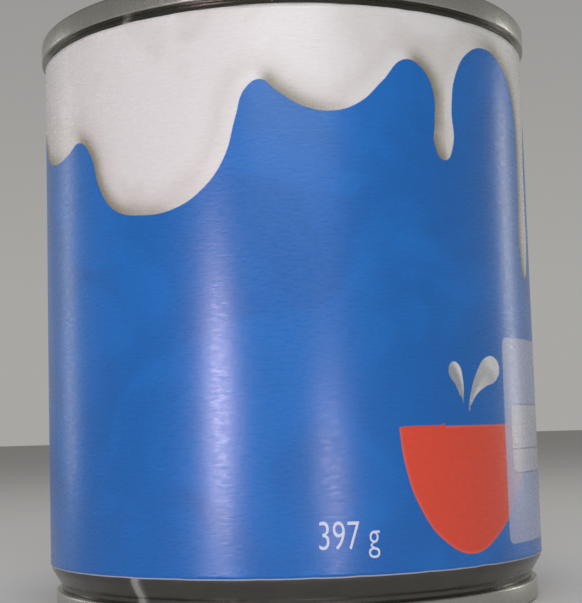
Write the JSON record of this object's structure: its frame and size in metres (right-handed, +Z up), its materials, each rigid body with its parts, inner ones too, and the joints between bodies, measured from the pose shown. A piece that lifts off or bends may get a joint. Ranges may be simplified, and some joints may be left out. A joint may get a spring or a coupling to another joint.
{
  "type": "condensed milk can",
  "caption": "Shut round steel food can of condensed milk, necked in at the base, with double seams, beaded ends and a wrapped paper label.",
  "frame": {"origin": "centre of the foot of the base seam, where the can rests on a flat surface", "axes": "+Z up along the can's axis, -Y towards the front of the label"},
  "size_m": [0.0742, 0.0742, 0.0842],
  "materials": {
    "tinplate": "satin tinplate",
    "label_paper": "printed paper with a satin coating"
  },
  "bodies": {
    "root": {"can_body": "tinplate", "top_end": "tinplate", "base_end": "tinplate", "paper_label": "label_paper"}
  },
  "joints": []
}
